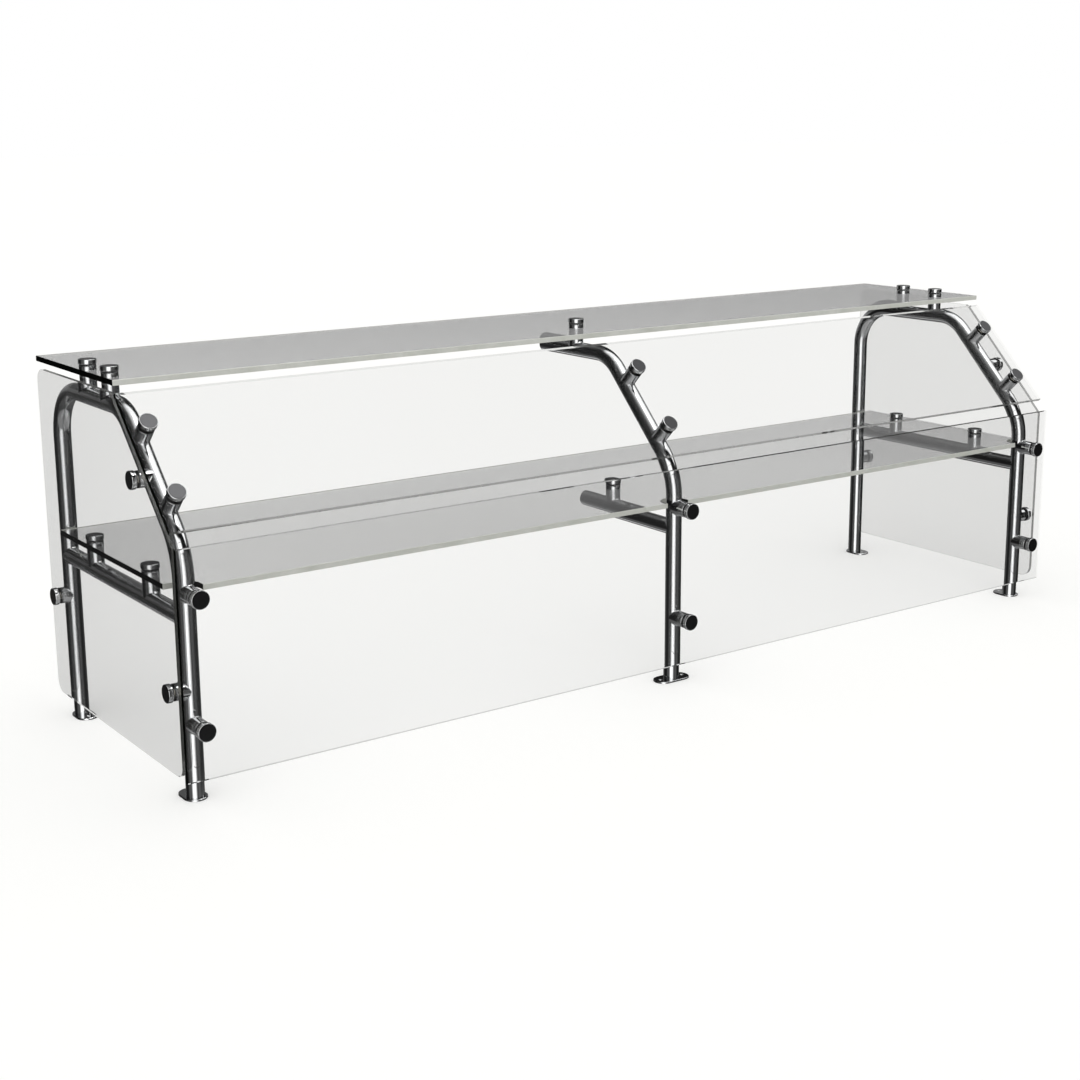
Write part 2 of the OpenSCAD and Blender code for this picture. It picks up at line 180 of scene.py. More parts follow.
class GuardLooks(bpy.types.PropertyGroup):
    """The colours of the materials and of the stage."""

    steel: colour("Steel", "#dcdddd", "Polished stainless steel")
    steel_haze: colour("Steel haze", "#d7d8d9", "Polished steel where it was wiped")
    # Painted shade: the dark colour of a cap's faced end stands in for the shade it shows; the steel itself
    # is no darker.
    cap_face_painted_shade: colour("Cap face", "#3a3a3b", "Faced end of a standoff cap")
    rubber: colour("Rubber", "#1d1d1e", "Black gasket rubber")
    rubber_bloom: colour("Rubber bloom", "#2b2b2c", "Rubber where it has bloomed")
    nylon: colour("Nylon", "#e9e5da", "Natural nylon")
    nylon_dull: colour("Nylon dull", "#dcd7c8", "Nylon where it is duller")
    front_tint: colour("Front tint", "#fcfcfc", "What the lower front pane lets through")
    # Painted shade: the upper pane is the same glass as the lower one, tinted greyer to stand in for the
    # shade it shows.
    upper_tint_painted_shade: colour("Upper tint", "#f1f1f1", "What the upper front pane lets through")
    # Painted shade: the end panes are the same glass as the fronts, tinted greyer to stand in for the shade
    # they show at their angle.
    end_tint_painted_shade: colour("End tint", "#ededed", "What the end panes let through")
    shelf_tint: colour("Shelf tint", "#fdfdfd", "What the shelves let through")
    # Glass edges: painted light and shade. Each colour below stands in for the pale or dark tone that light
    # in the glass gives an edge; each deep colour is a second tone mixed in by noise.
    edge: colour("Shelf edge", "#cdcec8", "Long edges of the shelves, ground and polished")
    edge_deep: colour("Shelf edge deep", "#bfc1b9", "The same where the light comes from deeper")
    # Painted shade: dark edge tones.
    pane_edge: colour("Front edge", "#484946", "Long edges of the lower front pane")
    pane_edge_deep: colour("Front edge deep", "#3a3b38", "The same where they are darkest")
    slant_edge: colour("Slant edge", "#4e4f4c", "Front edges of the end panes, lower edge of the upper pane")
    slant_edge_deep: colour("Slant edge deep", "#3c3d3a", "The same where they are darkest")
    # Painted light: pale edge tones.
    end_edge: colour("End edge", "#bcbdba", "Other edges of the end panes, upper edge of the upper pane")
    end_edge_deep: colour("End edge deep", "#b2b3af", "The same where the light comes from deeper")
    # Painted shade: the black of edges met end on.
    dark_edge: colour("Dark edge", "#0a0b0a", "Edges of the glass that look black")
    dark_edge_deep: colour("Dark edge deep", "#040504", "The same where they are blackest")
    glass_body: colour("Glass body", "#dfe2df", "Hint of green in the glass")
    floor: colour("Floor", "#f3f3f1", "Pale studio floor")


# Frame geometry

def shoulder(s):
    """Corner of incline and top run, as (y, z): y = (top - knee) tan(incline)."""
    rise = s.top_height - s.knee_height
    return np.array([rise * math.tan(s.incline), s.top_height])


def along(s):
    """Unit vector up the incline, as (y, z)."""
    return np.array([math.sin(s.incline), math.cos(s.incline)])


def incline_length(s):
    """Knee to shoulder along the tube axis."""
    return (s.top_height - s.knee_height) / math.cos(s.incline)


def top_places(s):
    """Where the first and last standoff of the top run stand, as y."""
    shoulder_trim = s.arm_radius * math.tan((math.pi / 2 - s.incline) / 2)
    first = shoulder(s)[0] + shoulder_trim + s.top_inset_front
    last = s.frame_depth - s.arm_radius - s.top_inset_rear
    return first, last


def top_middle(s):
    """Where the standoff of the centre arm stands, as y."""
    return sum(top_places(s)) / 2


def seat(s, group):
    """Tube axis to the inner face of a group's glass."""
    barrel = s.end_barrel_length if group in ENDS else s.barrel_length
    return s.tube_radius + barrel + s.gasket_thickness


def glass_thickness(s, group):
    """Thickness of a group's glass."""
    return s.shelf_thickness if group in SHELVES else s.pane_thickness


def face(s, group):
    """The plane that a group's glass lies along: origin on the tube axes, Z out of the glass face."""
    if group == "lower_front":
        return Matrix.Rotation(math.pi / 2, 4, "X")
    if group == "upper_front":
        return Matrix.Translation((0, 0, s.knee_height)) @ Matrix.Rotation(math.pi / 2 - s.incline, 4, "X")
    if group == "top_shelf":
        return Matrix.Translation((0, 0, s.top_height))
    if group == "middle_shelf":
        return Matrix.Translation((0, 0, s.rail_height))
    side = end_side(group)
    upright = Matrix.Rotation(side * math.pi / 2, 4, "Y") @ Matrix.Rotation(side * math.pi / 2, 4, "Z")
    return Matrix.Translation((side * s.bay_width, 0, 0)) @ upright


def end_side(group):
    """Which way an end pane faces along X."""
    return -1 if group == "left_end" else 1


def straight_spots(across, up):
    """Spots at each place across and each place up, on tubes that do not lean in the glass plane."""
    return [(u, v, 0.0) for u in across for v in up]


def standoff_spots(s, group):
    """Where a group's standoffs stand in the plane of its glass, as rows of (u, v, lean of the tube)."""
    frames = (-s.bay_width, 0.0, s.bay_width)
    ends = (-s.bay_width, s.bay_width)
    if group == "lower_front":
        top = s.knee_height + s.lower_pane_rise
        return straight_spots(frames, (s.pane_base + s.lower_inset, top - s.lower_inset))
    if group == "upper_front":
        inset = s.upper_pane_space + s.upper_inset
        return straight_spots(frames, (inset, incline_length(s) - inset))
    if group == "top_shelf":
        return straight_spots(ends, top_places(s)) + straight_spots([0.0], [top_middle(s)])
    if group == "middle_shelf":
        places = (s.rail_inset, s.frame_depth - s.rail_inset)
        return straight_spots(ends, places) + straight_spots([0.0], [s.shelf_arm_seat])
    side = end_side(group)
    middle = np.array([0.0, s.knee_height]) + along(s) * incline_length(s) / 2
    return [(0.0, s.end_front_height, 0.0), (side * middle[0], middle[1], -side * s.incline),
            (side * s.frame_depth, s.end_rear_height, 0.0)]


def standoff_places(s, group):
    """The standoffs' own frames: origin on the tube axis, Z outwards, the tube along Y."""
    plane = face(s, group)
    return np.array([plane @ Matrix.Translation((u, v, 0)) @ Matrix.Rotation(lean, 4, "Z")
                     for u, v, lean in standoff_spots(s, group)])


# Surfaces

def unit(vector):
    """The vector at length 1."""
    return vector / np.linalg.norm(vector)


def turn_angles(count):
    """Equal angles once round, without the last."""
    return np.linspace(0, 2 * math.pi, count, endpoint=False)


def arc(centre, radius, start, end, steps=CORNER_STEPS):
    """Points (u, v) of an arc, both ends included, angles in degrees."""
    angle = np.radians(np.linspace(start, end, steps + 1))
    return np.array(centre) + radius * np.column_stack([np.cos(angle), np.sin(angle)])


def grid_quads(rows, cols, ring):
    """Quads between neighbouring rows of a grid that closes round its columns, and round its rows if ring."""
    row, col = np.meshgrid(np.arange(rows if ring else rows - 1), np.arange(cols), indexing="ij")
    next_row = (row + 1) % rows
    next_col = (col + 1) % cols
    corners = [row * cols + col, row * cols + next_col, next_row * cols + next_col, next_row * cols + col]
    return np.stack(corners, axis=-1).reshape(-1, 4)


def solid(rings, ring):
    """Points and face blocks of a solid from rows of rings, closed in a ring or by flat end faces."""
    rows, cols = rings.shape[:2]
    faces = [grid_quads(rows, cols, ring)]
    if not ring:
        first = np.arange(cols)
        faces.append(np.array([first[::-1], first + (rows - 1) * cols]))
    return rings.reshape(-1, 3), faces


def copies(points, faces, places):
    """The same solid at every place, as one set of points and face blocks."""
    moved = np.einsum("mij,nj->mni", places[:, :3, :3], points) + places[:, None, :3, 3]
    shift = np.arange(len(places))[:, None, None] * len(points)
    return moved.reshape(-1, 3), [(block + shift).reshape(-1, block.shape[1]) for block in faces]


def turned_rings(radius, height):
    """Rings round Z: (r cos a, r sin a, h), with r and h given for each row, or for each row and angle."""
    angle = turn_angles(TURNED_STEPS)
    radius, height = np.broadcast_arrays(radius, height + 0 * angle)
    return np.stack([radius * np.cos(angle), radius * np.sin(angle), height], axis=-1)


def turned(profile):
    """Rings of a turned profile given as rows of (radius, height)."""
    profile = np.array(profile)
    return turned_rings(profile[:, :1], profile[:, 1:])


def rounded_edge(radius, height, edge):
    """Profile rows round the outer upper edge: radius - e + e cos a, height - e + e sin a."""
    angle = np.linspace(0, math.pi / 2, ROUND_STEPS)
    rows = np.column_stack([radius - edge + edge * np.cos(angle), height - edge + edge * np.sin(angle)])
    return rows.tolist()


def turned_face(radius, height, edge):
    """Profile rows round the outer upper edge and over the flat face inside it, to the middle."""
    face_rows = [(share * radius, height) for share in FACE_SHARES]
    return rounded_edge(radius, height, edge) + face_rows + [(CENTRE_SPOT, height)]


def bent_line(corners, radii):
    """Points and headings, as (y, z), of a line that turns each inner corner on an arc.

    The arc starts radius * tan(sweep / 2) ahead of the corner and follows
    start + radius * (sin t * ahead + (1 - cos t) * inward) for t from 0 to the sweep.
    """
    corners = np.array(corners)
    points = [corners[:1]]
    headings = [unit(corners[1] - corners[0])[None]]
    for before, corner, after, radius in zip(corners, corners[1:], corners[2:], radii):
        ahead = unit(corner - before)
        leaving = unit(after - corner)
        sweep = math.acos(ahead @ leaving)
        inward = unit(leaving - ahead * math.cos(sweep))
        start = corner - ahead * radius * math.tan(sweep / 2)
        t = np.linspace(0, sweep, BEND_STEPS)[:, None]
        points.append(start + radius * (np.sin(t) * ahead + (1 - np.cos(t)) * inward))
        headings.append(np.cos(t) * ahead + np.sin(t) * inward)
    points.append(corners[-1:])
    headings.append(unit(corners[-1] - corners[-2])[None])
    return np.vstack(points), np.vstack(headings)


def swept_rings(points, headings, radius, x):
    """Rings square to a line in the plane X = x: p + r (cos a X + sin a (heading x X))."""
    angle = turn_angles(TUBE_STEPS)
    side = radius * np.sin(angle)
    across = x + radius * np.cos(angle) + 0 * points[:, :1]
    ahead = points[:, :1] + side * headings[:, 1:]
    upward = points[:, 1:] - side * headings[:, :1]
    return np.stack([across, ahead, upward], axis=-1)


def hollow(outer, inner):
    """A wall between outer rings and inner rings that run the same way."""
    return solid(np.concatenate([outer, inner[::-1]]), ring=True)


def bent_tube(s, corners, radii, x):
    """A tube of the frame along a bent line."""
    points, headings = bent_line(corners, radii)
    outer = swept_rings(points, headings, s.tube_radius, x)
    inner = swept_rings(points, headings, s.tube_radius - s.tube_wall, x)
    return hollow(outer, inner)


def saddle(s, across):
    """Height at which a straight line beside a tube's axis leaves the tube: sqrt(R^2 - x^2)."""
    radius = s.tube_radius - s.weld_sink
    return np.sqrt(np.maximum(radius ** 2 - across ** 2, 0))


def weld_rows(s):
    """Steps up a weld fillet and how far it stands out there: leg (1 - t / leg)^2."""
    climb = np.linspace(0, s.weld_leg, ROUND_STEPS)[:, None]
    return climb, s.weld_leg * (1 - climb / s.weld_leg) ** 2


def welded_end(s, radius, angle, fillet):
    """Distance from the post's axis and radius of the rows at an end that is cut to a post and welded.

    The fillet fades with sin^2 a towards the sides, where the equal tubes meet edge to edge.
    """
    climb, stand_out = weld_rows(s)
    radius = radius + fillet * stand_out * np.sin(angle) ** 2
    return saddle(s, radius * np.cos(angle)) + climb, radius


def straight_tube(s, radius, x, z, end, far_post, fillet):
    """Rings of a level tube from the front post at y = 0, cut to the rear post or square at its end."""
    angle = turn_angles(TUBE_STEPS)
    ahead, radii = welded_end(s, radius, angle, fillet)
    far = end - ahead[::-1] if far_post else end + 0 * angle[None]
    far_radii = radii[::-1] if far_post else radius + 0 * angle[None]
    ahead = np.concatenate([ahead, far])
    radii = np.concatenate([radii, far_radii])
    return np.stack([x + radii * np.cos(angle), ahead, z - radii * np.sin(angle)], axis=-1)


def level_tube(s, x, end, far_post):
    """A shelf rail or the shelf arm, with its wall."""
    outer = straight_tube(s, s.tube_radius, x, s.rail_height, end, far_post, fillet=1)
    inner = straight_tube(s, s.tube_radius - s.tube_wall, x, s.rail_height, end, far_post, fillet=0)
    return hollow(outer, inner)


def inset_loop(loop, distance):
    """A closed loop moved to its left by the distance, mitred: p + d (n1 + n2) / (1 + n1 . n2)."""
    ahead = np.roll(loop, -1, axis=0) - loop
    ahead /= np.linalg.norm(ahead, axis=1, keepdims=True)
    left = np.column_stack([-ahead[:, 1], ahead[:, 0]])
    before = np.roll(left, 1, axis=0)
    share = 1 + np.sum(left * before, axis=1, keepdims=True)
    return loop + distance * (left + before) / share


def plate(outline, holes, thickness, edge):
    """A flat plate from Z = 0 up: an anticlockwise outline and clockwise holes, with broken corners.

    Each loop carries four rings: set in by the edge at the bottom, full, full, set in at the top.
    """
    points, faces, insets, starts = [], [], [], []
    count = 0
    for loop in [outline] + holes:
        inner = inset_loop(loop, edge)
        flats = (inner, loop, loop, inner)
        heights = (0, edge, thickness - edge, thickness)
        rings = np.stack([np.insert(flat, 2, height, axis=1) for flat, height in zip(flats, heights)])
        points.append(rings.reshape(-1, 3))
        faces.append(grid_quads(PLATE_RINGS, len(loop), ring=False) + count)
        starts.append(count + np.arange(len(loop)))
        insets.append(inner)
        count += PLATE_RINGS * len(loop)
    flat = np.vstack(insets)
    triangles = np.array(tessellate_polygon([[Vector(p) for p in loop] for loop in insets]))
    a, b, c = flat[triangles].transpose(1, 0, 2)
    clockwise = (b - a)[:, 0] * (c - a)[:, 1] < (b - a)[:, 1] * (c - a)[:, 0]
    triangles[clockwise] = triangles[clockwise][:, ::-1]
    lower = np.concatenate(starts)
    upper = np.concatenate([start + (PLATE_RINGS - 1) * len(start) for start in starts])
    faces.append(lower[triangles][:, ::-1])
    faces.append(upper[triangles])
    return np.vstack(points), faces


def hole(centre, radius):
    """A round hole's loop, clockwise."""
    return arc(centre, radius, 360, 0, TURNED_STEPS)[:-1]


def rectangle(left, right, low, high):
    """A rectangle's loop, anticlockwise."""
    return np.array([(left, low), (right, low), (right, high), (left, high)])


# Materials

def node(tree, kind, inputs, **settings):
    """Adds a shader node: settings are its own fields, inputs are values or other nodes' outputs."""
    made = tree.nodes.new("ShaderNode" + kind)
    for key, value in settings.items():
        setattr(made, key, value)
    for key, value in inputs.items():
        if isinstance(value, bpy.types.NodeSocket):
            tree.links.new(value, made.inputs[key])
        else:
            made.inputs[key].default_value = value
    return made


def new_tree(name):
    """An empty material and its node tree."""
    material = bpy.data.materials.new(name)
    material.use_nodes = True
    material.node_tree.nodes.clear()
    return material, material.node_tree


def noise(tree, size, detail):
    """Noise with features of about the given size in metres, in the object's own coordinates."""
    place = node(tree, "TexCoord", {}).outputs["Object"]
    return node(tree, "TexNoise", {"Vector": place, "Scale": 1 / size, "Detail": detail}).outputs["Fac"]


def spread(tree, value, low=0.0, high=1.0):
    """Noise brought to run between two values."""
    ends = {"Value": value, "From Min": NOISE_LOW, "From Max": NOISE_HIGH, "To Min": low, "To Max": high}
    return node(tree, "MapRange", ends).outputs["Result"]


def blend(tree, share, first, second):
    """A colour that goes from the first to the second as the share goes from 0 to 1."""
    inputs = {MIX_SHARE: share, MIX_FIRST: (*first, 1.0), MIX_SECOND: (*second, 1.0)}
    return node(tree, "Mix", inputs, data_type="RGBA").outputs[MIX_RESULT]


def bump(tree, height, depth, strength):
    """A bump normal whose full height is the depth in metres."""
    inputs = {"Height": height, "Distance": depth, "Strength": strength}
    return node(tree, "Bump", inputs).outputs["Normal"]


def shaded(tree, inputs):
    """Ends a tree in one Principled shader."""
    shader = node(tree, "BsdfPrincipled", inputs).outputs["BSDF"]
    node(tree, "OutputMaterial", {"Surface": shader})


def tube_steel(looks):
    """Buffed to a mirror after bending: sharp reflections, with a faint haze where it was wiped."""
    material, tree = new_tree("mirror_polished_stainless_tube")
    haze = spread(tree, noise(tree, size=40 * MM, detail=3))
    orange_peel = noise(tree, size=6 * MM, detail=1)
    shaded(tree, {
        "Base Color": blend(tree, haze, looks.steel, looks.steel_haze),
        "Metallic": 1.0,
        "Roughness": spread(tree, noise(tree, size=25 * MM, detail=4), low=0.03, high=0.06),
        "Normal": bump(tree, orange_peel, depth=0.005 * MM, strength=0.1),
    })
    return material


def from_axis(tree):
    """A turned piece's distance from its axis, kept at its points."""
    return node(tree, "Attribute", {}, attribute_name="from_axis").outputs["Fac"]


def turning_rings(tree):
    """Fine rings round the axis of a turned piece, drawn coarser than they are."""
    rings = {"W": from_axis(tree), "Scale": 1 / TURNING_PITCH, "Detail": 2}
    return node(tree, "TexNoise", rings, noise_dimensions="1D").outputs["Fac"]


def turned_steel(looks):
    """Turned from bar and polished: sharp reflections over fine rings round the middle of each face."""
    material, tree = new_tree("turned_and_polished_stainless_bar")
    rings = turning_rings(tree)
    haze = spread(tree, noise(tree, size=10 * MM, detail=2))
    shaded(tree, {
        "Base Color": blend(tree, haze, looks.steel, looks.steel_haze),
        "Metallic": 1.0,
        "Roughness": spread(tree, rings, low=0.04, high=0.08),
        "Normal": bump(tree, rings, depth=0.01 * MM, strength=0.15),
    })
    return material


def cap_steel(looks):
    """Turned from bar: polished round the rim, and satin where it was faced, with painted shade that makes
    the faced end dark.
    """
    material, tree = new_tree("turned_stainless_cap_painted_shade_face")
    ends = {"Value": from_axis(tree), "From Min": CAP_FACE_RADIUS, "From Max": CAP_RIM_RADIUS}
    rim = node(tree, "MapRange", ends).outputs["Result"]
    metallic = {"Value": rim, "To Min": 0.85, "To Max": 1.0}
    roughness = {"Value": rim, "To Min": 0.22, "To Max": 0.05}
    shaded(tree, {
        "Base Color": blend(tree, rim, looks.cap_face_painted_shade, looks.steel),
        "Metallic": node(tree, "MapRange", metallic).outputs["Result"],
        "Roughness": node(tree, "MapRange", roughness).outputs["Result"],
        "Normal": bump(tree, turning_rings(tree), depth=0.01 * MM, strength=0.15),
    })
    return material


def thread_steel(looks):
    """Drawn and thread-rolled: a duller, slightly rough steel."""
    material, tree = new_tree("thread_rolled_stainless")
    grain = noise(tree, size=1 * MM, detail=3)
    shaded(tree, {
        "Base Color": blend(tree, grain, looks.steel_haze, looks.steel),
        "Metallic": 1.0,
        "Roughness": spread(tree, grain, low=0.3, high=0.45),
        "Normal": bump(tree, grain, depth=0.1 * MM, strength=0.4),
    })
    return material


def gasket_rubber(looks):
    """Die-cut from calendered sheet: matt black with a faint bloom."""
    material, tree = new_tree("die_cut_black_rubber")
    grain = noise(tree, size=1.2 * MM, detail=3)
    bloom = spread(tree, noise(tree, size=6 * MM, detail=2))
    shaded(tree, {
        "Base Color": blend(tree, bloom, looks.rubber, looks.rubber_bloom),
        "Roughness": spread(tree, grain, low=0.55, high=0.75),
        "Normal": bump(tree, grain, depth=0.1 * MM, strength=0.3),
    })
    return material


def sleeve_nylon(looks):
    """Moulded in natural nylon: milky, slightly glossy."""
    material, tree = new_tree("moulded_natural_nylon")
    flow = noise(tree, size=4 * MM, detail=2)
    shaded(tree, {
        "Base Color": blend(tree, spread(tree, flow), looks.nylon, looks.nylon_dull),
        "Roughness": spread(tree, flow, low=0.35, high=0.5),
        "Normal": bump(tree, flow, depth=0.05 * MM, strength=0.3),
    })
    return material


def toughened_glass(name, tint, body, index=1.5, gloss=1.0):
    """Float glass toughened on rollers: clear, with a hint of body colour and a wave seen in reflections."""
    material, tree = new_tree(name)
    wave = noise(tree, size=250 * MM, detail=0)
    shaded(tree, {
        "Base Color": blend(tree, spread(tree, wave, high=0.02), tint, body),
        "Roughness": 0.0,
        "IOR": index,
        "Specular Tint": (gloss, gloss, gloss, 1.0),
        "Transmission Weight": 1.0,
        "Normal": bump(tree, wave, depth=0.05 * MM, strength=0.2),
    })
    return material


def glass_edge(name, hue, hue_deep, opacity=1.0):
    """Ground flat and polished, with painted light and shade: the tone that light in the glass gives an edge
    is painted into its colour, with a second tone mixed in by noise.
    """
    material, tree = new_tree(name)
    grain = noise(tree, size=30 * MM, detail=2)
    shaded(tree, {
        "Base Color": blend(tree, spread(tree, grain), hue, hue_deep),
        "Roughness": spread(tree, grain, low=0.2, high=0.35),
        "Alpha": opacity,
    })
    return material


def shelf_edge(looks):
    """The shelves' long edges: grey-green from the glass's own body colour, and pale from painted light."""
    return glass_edge("shelf_edge_painted_light", looks.edge, looks.edge_deep)


def front_edge(looks):
    """The lower front pane's long edges, mostly clear, with painted shade that makes them dark."""
    return glass_edge("front_edge_painted_shade", looks.pane_edge, looks.pane_edge_deep, opacity=0.35)


def slant_edge(looks):
    """The end panes' edges towards the front and the upper pane's lower edge, partly clear, with painted
    shade that makes them dark.
    """
    return glass_edge("slant_edge_painted_shade", looks.slant_edge, looks.slant_edge_deep, opacity=0.7)


def end_edge(looks):
    """The end panes' other edges and the upper pane's upper edge, which hardly show: mostly clear, with a
    pale painted light.
    """
    return glass_edge("end_edge_painted_light", looks.end_edge, looks.end_edge_deep, opacity=0.25)


def dark_edge(looks):
    """Ground and polished edges met end on, with painted shade: the black that light lost along the glass
    gives them from outside is painted into their colour.

    From inside the glass they let the light out and do not show.
    """
    material, tree = new_tree("edge_end_on_painted_shade")
    tone = spread(tree, noise(tree, size=30 * MM, detail=2))
    inside = node(tree, "NewGeometry", {}).outputs["Backfacing"]
    shaded(tree, {
        "Base Color": blend(tree, tone, looks.dark_edge, looks.dark_edge_deep),
        "Roughness": 0.3,
        "Specular IOR Level": 0.0,
        "Alpha": node(tree, "Math", {0: 1.0, 1: inside}, operation="SUBTRACT").outputs["Value"],
    })
    return material


def front_glass(looks):
    """The lower front pane's glass."""
    return toughened_glass("toughened_float_glass_front", looks.front_tint, looks.glass_body)


def upper_glass(looks):
    """The upper front pane's glass, which hardly mirrors the light above it, tinted a shade greyer as painted
    shade.
    """
    return toughened_glass("toughened_float_glass_upper", looks.upper_tint_painted_shade, looks.glass_body,
                           index=1.1, gloss=0.12)


def end_glass(looks):
    """The end panes' glass, less of a mirror, tinted a shade greyer as painted shade."""
    return toughened_glass("toughened_float_glass_end", looks.end_tint_painted_shade, looks.glass_body, index=1.2)


def shelf_glass(looks):
    """The shelves' thicker glass."""
    return toughened_glass("toughened_float_glass_shelf", looks.shelf_tint, looks.glass_body)


FINISHES = {}


def finish_of(build):
    """The material that a function builds, built once."""
    if build.__name__ not in FINISHES:
        FINISHES[build.__name__] = build(bpy.context.scene.guard_looks)
    return FINISHES[build.__name__]


# Pieces

def new_object(name, points, faces, material):
    """A mesh object at the origin, smooth but for its sharp edges."""
    mesh = bpy.data.meshes.new(name)
    mesh.from_pydata(points.tolist(), [], [corners for block in faces for corners in block.tolist()])
    mesh.shade_smooth()
    mesh.set_sharp_from_angle(angle=SHARP_ANGLE)
    mesh.materials.append(material)
    made = bpy.data.objects.new(name, mesh)
    bpy.context.scene.collection.objects.link(made)
    return made


def add_piece(name, points, faces, build, slot, cad_node):
    """A piece that stands for a CAD node and takes the finish that its build function makes; the slot is not
    used.
    """
    piece = new_object(name, points, faces, finish_of(build))
    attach(piece, "root")
    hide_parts(cad_node)
    return piece


def add_turned(name, rings, ring, places, build, slot, cad_node):
    """Like turned pieces at several places as one piece that keeps each point's distance from its axis."""
    points, faces = solid(rings, ring)
    distances = np.tile(np.hypot(points[:, 0], points[:, 1]), len(places))
    piece = add_piece(name, *copies(points, faces, places), build, slot, cad_node)
    piece.data.attributes.new("from_axis", "FLOAT", "POINT").data.foreach_set("value", distances)
    return piece


def pass_light(pane):
    """Lets lamp light and the floor's light through a pane, as clear glass does."""
    pane.visible_shadow = False
    pane.visible_diffuse = False


def pane_outline(s, group):
    """Outline of a group's glass in its plane, anticlockwise."""
    half = s.bay_width + s.glass_overhang
    if group == "lower_front":
        return rectangle(-half, half, s.pane_base, s.knee_height + s.lower_pane_rise)
    if group == "upper_front":
        return rectangle(-half, half, s.upper_pane_space, incline_length(s) - s.upper_pane_space)
    if group == "top_shelf":
        return rectangle(-half, half, top_places(s)[0] - s.top_shelf_front, s.frame_depth + s.top_shelf_rear)
    if group == "middle_shelf":
        return shelf_outline(s)
    return end_outline(s, end_side(group))


def shelf_outline(s):
    """Middle shelf: cut out round the centre post and at the corners where the end posts pass."""
    half = s.bay_width + seat(s, "left_end") - s.mid_shelf_end_gap
    front = -s.mid_shelf_front
    rear = s.frame_depth - s.tube_radius - s.mid_shelf_rear_gap
    notch = s.tube_radius + s.notch_clearance
    bay = s.bay_width
    return np.vstack([
        (notch - bay, front), (-notch, front), arc((0, 0), notch, 180, 0, HALF_ROUND_STEPS), (notch, front),
        (bay - notch, front), arc((bay, 0), notch, 180, 90), (half, notch), (half, rear),
        (-half, rear), (-half, notch), arc((-bay, 0), notch, 90, 0),
    ])


def end_outline(s, side):
    """End pane: the end frame's outline moved out by the margin, with its square corners rounded."""
    front = -s.end_margin
    rear = s.frame_depth + s.end_margin
    top = s.top_height + s.end_margin
    lean = along(s)
    front_corner = s.knee_height + s.end_margin * (1 - lean[1]) / lean[0]
    top_corner = ((top - s.knee_height) * lean[0] - s.end_margin) / lean[1]
    r = s.end_corner_radius
    loop = np.vstack([
        arc((front + r, s.pane_base + r), r, 180, 270), arc((rear - r, s.pane_base + r), r, 270, 360),
        arc((rear - r, top - r), r, 0, 90), (top_corner, top), (front, front_corner),
    ])
    return loop if side > 0 else (loop * (-1, 1))[::-1]


def add_pane(s, group, build, slot):
    """The glass of one group, drilled for its standoffs."""
    holes = [hole((u, v), s.hole_radius) for u, v, lean in standoff_spots(s, group)]
    points, faces = plate(pane_outline(s, group), holes, glass_thickness(s, group), s.glass_arris)
    place = np.array([face(s, group) @ Matrix.Translation((0, 0, seat(s, group)))])
    pane = add_piece(group + "_pane", *copies(points, faces, place), build, slot, group + "_glass")
    paint_edge_tones(pane.data, pane_outline(s, group), *edge_light_and_shade(group))
    pass_light(pane)


def edge_light_and_shade(group):
    """The materials of most edges of a group's glass, and of those that look certain ways in the glass plane:
    their painted light and shade, lighter or darker by the way an edge faces.
    """
    up = (0, 1)
    down = (0, -1)
    if group in ENDS:
        rear = (end_side(group), 0)
        return slant_edge, [(end_edge, [up, down, rear])]
    if group == "upper_front":
        return dark_edge, [(end_edge, [up]), (slant_edge, [down])]
    return dark_edge, [(shelf_edge if group in SHELVES else front_edge, [up, down])]


def paint_edge_tones(mesh, outline, most, some):
    """Gives the edges along an outline their materials of painted light and shade, by the way they look.

    The outline's faces come first in a plate, one row for each arris and one for the edge between them.
    """
    mesh.materials.append(finish_of(most))
    ahead = np.roll(outline, -1, axis=0) - outline
    outward = np.column_stack([ahead[:, 1], -ahead[:, 0]]) / np.linalg.norm(ahead, axis=1, keepdims=True)
    slots = np.ones(len(outline), dtype=np.int32)
    for build, ways in some:
        slots[np.max(outward @ np.array(ways).T, axis=1) > EDGE_FACING] = len(mesh.materials)
        mesh.materials.append(finish_of(build))
    rows = PLATE_RINGS - 1
    numbers = np.zeros(len(mesh.polygons), dtype=np.int32)
    numbers[:rows * len(outline)] = np.tile(slots, rows)
    mesh.polygons.foreach_set("material_index", numbers)


def barrel_rings(s, length_out):
    """A barrel: saddle on the tube, weld fillet, wall, end face and stud bore."""
    angle = turn_angles(TURNED_STEPS)
    climb, stand_out = weld_rows(s)
    outer = s.barrel_radius + stand_out * np.sin(angle) ** 2
    spot = s.bore_radius + 0 * angle[None]
    end = s.tube_radius + length_out
    floor = s.tube_radius + s.barrel_floor
    edge = s.turned_edge
    rim = np.array([(s.barrel_radius, end - edge), (s.barrel_radius - edge, end), (s.bore_radius, end),
                    (s.bore_radius, floor)])
    radius = np.concatenate([spot, outer, rim[:, :1] + 0 * angle])
    height = np.concatenate([saddle(s, spot * np.cos(angle)), saddle(s, outer * np.cos(angle)) + climb,
                             rim[:, 1:] + 0 * angle])
    return turned_rings(radius, height)


def cap_rings(s):
    """A cap: threaded bore, wall, rounded edge and flat face."""
    rows = [(CENTRE_SPOT, s.cap_bore), (s.bore_radius, s.cap_bore), (s.bore_radius, 0),
            (s.cap_radius - s.turned_edge, 0), (s.cap_radius, s.turned_edge)]
    return turned(rows + turned_face(s.cap_radius, s.cap_thickness, s.cap_edge))


